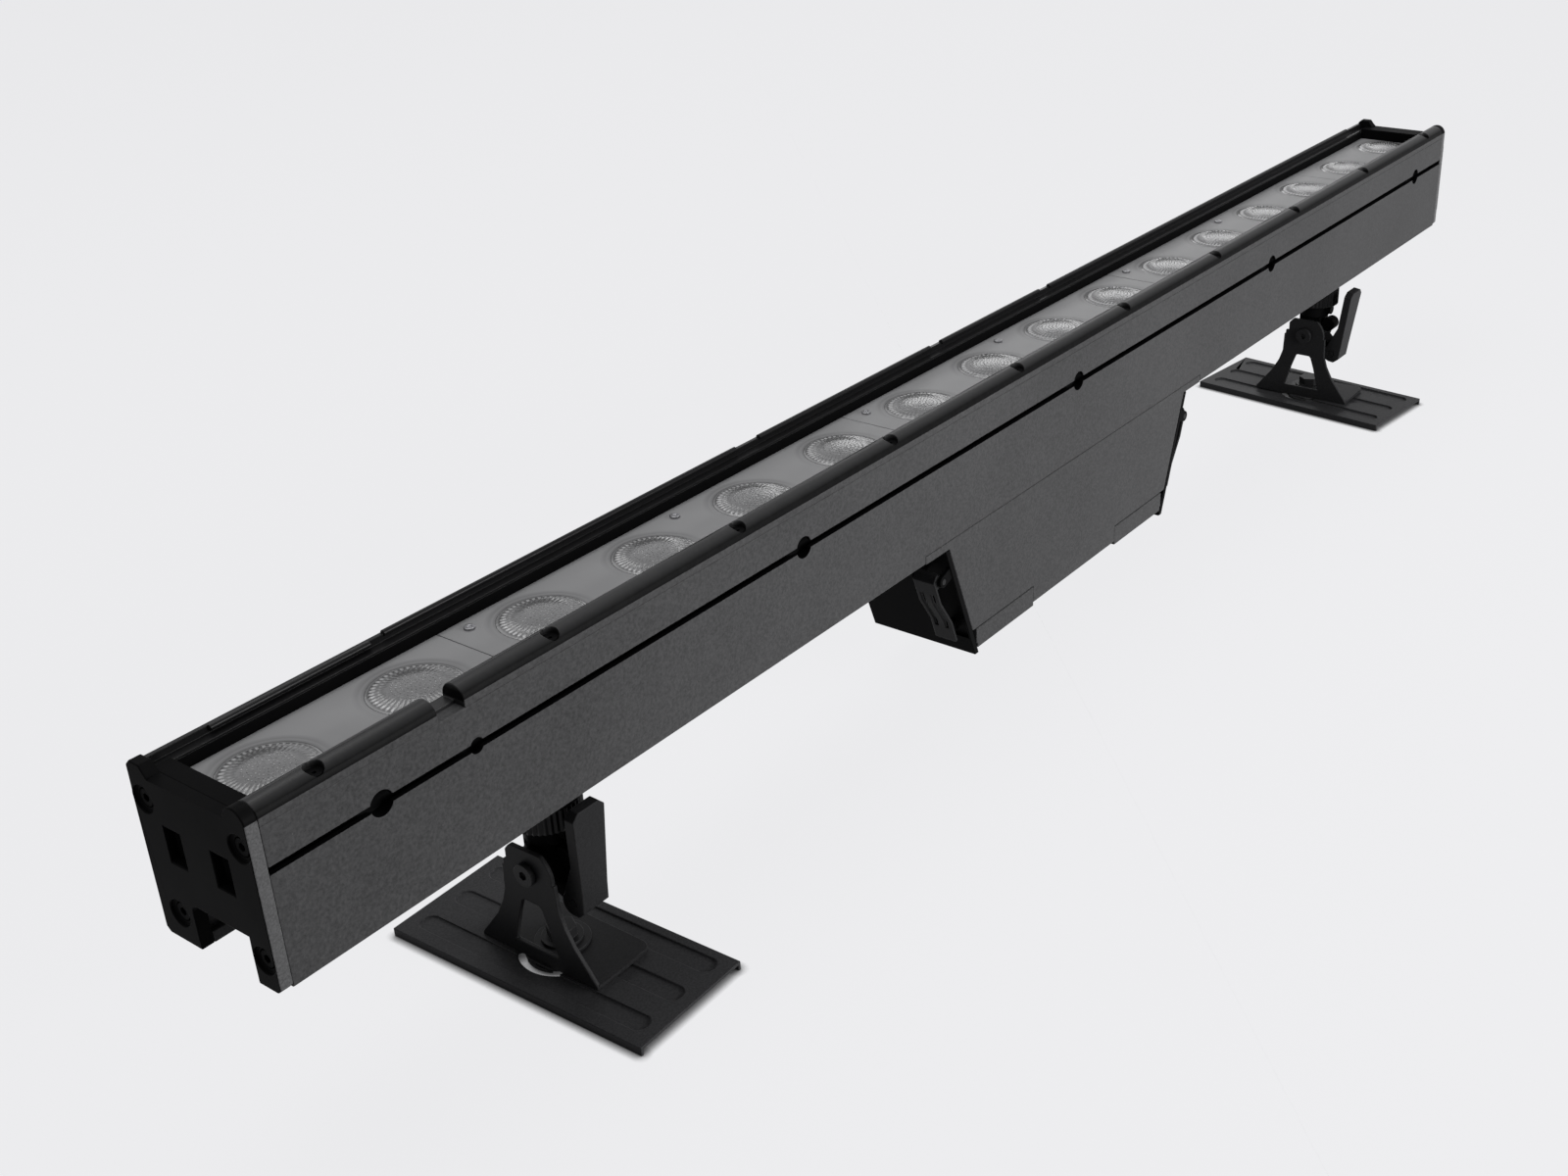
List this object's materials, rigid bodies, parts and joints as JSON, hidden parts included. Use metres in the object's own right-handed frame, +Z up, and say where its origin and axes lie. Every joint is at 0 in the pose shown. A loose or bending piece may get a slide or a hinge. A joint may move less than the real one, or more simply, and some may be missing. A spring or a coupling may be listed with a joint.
{
  "type": "wall washer light",
  "caption": "Black linear wall washer bar with a row of domed lenses, an underslung power box and two tilting, turning floor brackets.",
  "frame": {"origin": "on the floor, under the middle of the bar's length, midway between the ends of the base plates", "axes": "+X along the bar, +Y to the back, +Z up"},
  "size_m": [1, 0.1396, 0.1572],
  "materials": {
    "powder_coat": "fine textured satin",
    "cast_black": "satin",
    "black_steel": "satin",
    "bare_aluminium": "brushed",
    "bright_steel": "satin",
    "black_screw": "blackened",
    "board_white": "matte",
    "emitter_yellow": "gloss",
    "frosted_optic": "frosted",
    "clear_lens": "clear",
    "seal_rubber": "matte",
    "driver_green": "matte",
    "black_plastic": "matte"
  },
  "bodies": {
    "bar": {"housing": "powder_coat", "near_rail": "powder_coat", "far_rail": "powder_coat", "end_cap_left": "cast_black", "end_cap_right": "cast_black", "end_block_left": "powder_coat", "end_block_right": "powder_coat", "heat_spreader": "bare_aluminium", "light_board_1": "board_white", "light_board_2": "board_white", "light_board_3": "board_white", "light_board_4": "board_white", "light_board_5": "board_white", "light_emitters": "emitter_yellow", "optic_plate_1": "frosted_optic", "optic_plate_2": "frosted_optic", "optic_plate_3": "frosted_optic", "optic_plate_4": "frosted_optic", "optic_plate_5": "frosted_optic", "lens_set_1": "clear_lens", "lens_set_2": "clear_lens", "lens_set_3": "clear_lens", "lens_set_4": "clear_lens", "lens_set_5": "clear_lens", "window_gasket": "seal_rubber", "rail_screws": "black_screw", "cap_screws": "black_screw", "optic_screws": "bright_steel", "box_shell": "powder_coat", "box_tray": "powder_coat", "box_end_left": "cast_black", "box_end_right": "cast_black", "driver_board": "driver_green", "latch_pins": "bright_steel", "cable_gland": "black_plastic"},
    "latch_arm_left": {"latch_left": "black_steel"},
    "latch_arm_right": {"latch_right": "black_steel"},
    "carriage_left": {"slide_nut_left": "bright_steel", "draw_bolt_left": "bright_steel", "knuckle_left": "cast_black", "lever_pin_left": "bright_steel", "pivot_bolt_left": "black_screw"},
    "wheel_left": {"thumb_wheel_left": "black_plastic"},
    "paddle_left": {"lever_left": "black_steel"},
    "ear_left": {"ear_bracket_left": "black_steel"},
    "foot_left": {"base_plate_left": "black_steel", "yaw_bolt_left": "black_screw", "yaw_washer_left": "black_screw"},
    "carriage_right": {"slide_nut_right": "bright_steel", "draw_bolt_right": "bright_steel", "knuckle_right": "cast_black", "lever_pin_right": "bright_steel", "pivot_bolt_right": "black_screw"},
    "wheel_right": {"thumb_wheel_right": "black_plastic"},
    "paddle_right": {"lever_right": "black_steel"},
    "ear_right": {"ear_bracket_right": "black_steel"},
    "foot_right": {"base_plate_right": "black_steel", "yaw_bolt_right": "black_screw", "yaw_washer_right": "black_screw"}
  },
  "joints": [
    {"name": "slide_left", "type": "slide", "parent": "bar", "child": "carriage_left", "axis": [1, 0, 0], "range_m": [-0.115, 0.17]},
    {"name": "tilt_left", "type": "hinge", "parent": "carriage_left", "child": "ear_left", "pos_m": [-0.359, 0, 0.047], "axis": [1, 0, 0], "range_deg": [-90, 90]},
    {"name": "yaw_left", "type": "hinge", "parent": "ear_left", "child": "foot_left", "pos_m": [-0.359, 0, 0.005], "axis": [0, 0, 1], "range_deg": [-46.5, 43.5]},
    {"name": "wheel_turn_left", "type": "hinge", "parent": "carriage_left", "child": "wheel_left", "pos_m": [-0.359, 0, 0.07], "axis": [0, 0, 1], "continuous": true},
    {"name": "lever_swing_left", "type": "hinge", "parent": "carriage_left", "child": "paddle_left", "pos_m": [-0.359, -0.0165, 0.035], "axis": [1, 0, 0], "range_deg": [-2.5, 77.5]},
    {"name": "latch_swing_left", "type": "hinge", "parent": "bar", "child": "latch_arm_left", "pos_m": [-0.12162, -0.0175, 0.07182], "axis": [0, 1, 0], "range_deg": [0, 75]},
    {"name": "slide_right", "type": "slide", "parent": "bar", "child": "carriage_right", "axis": [1, 0, 0], "range_m": [-0.17, 0.115]},
    {"name": "tilt_right", "type": "hinge", "parent": "carriage_right", "child": "ear_right", "pos_m": [0.359, 0, 0.047], "axis": [1, 0, 0], "range_deg": [-90, 90]},
    {"name": "yaw_right", "type": "hinge", "parent": "ear_right", "child": "foot_right", "pos_m": [0.359, 0, 0.005], "axis": [0, 0, 1], "range_deg": [-39, 51]},
    {"name": "wheel_turn_right", "type": "hinge", "parent": "carriage_right", "child": "wheel_right", "pos_m": [0.359, 0, 0.07], "axis": [0, 0, 1], "continuous": true},
    {"name": "lever_swing_right", "type": "hinge", "parent": "carriage_right", "child": "paddle_right", "pos_m": [0.359, -0.0165, 0.035], "axis": [1, 0, 0], "range_deg": [-8, 72]},
    {"name": "latch_swing_right", "type": "hinge", "parent": "bar", "child": "latch_arm_right", "pos_m": [0.12162, -0.0175, 0.07182], "axis": [0, -1, 0], "range_deg": [0, 75]}
  ],
  "couplings": [
    {"joint": "tilt_right", "follows": "tilt_left", "ratio": 1}
  ]
}
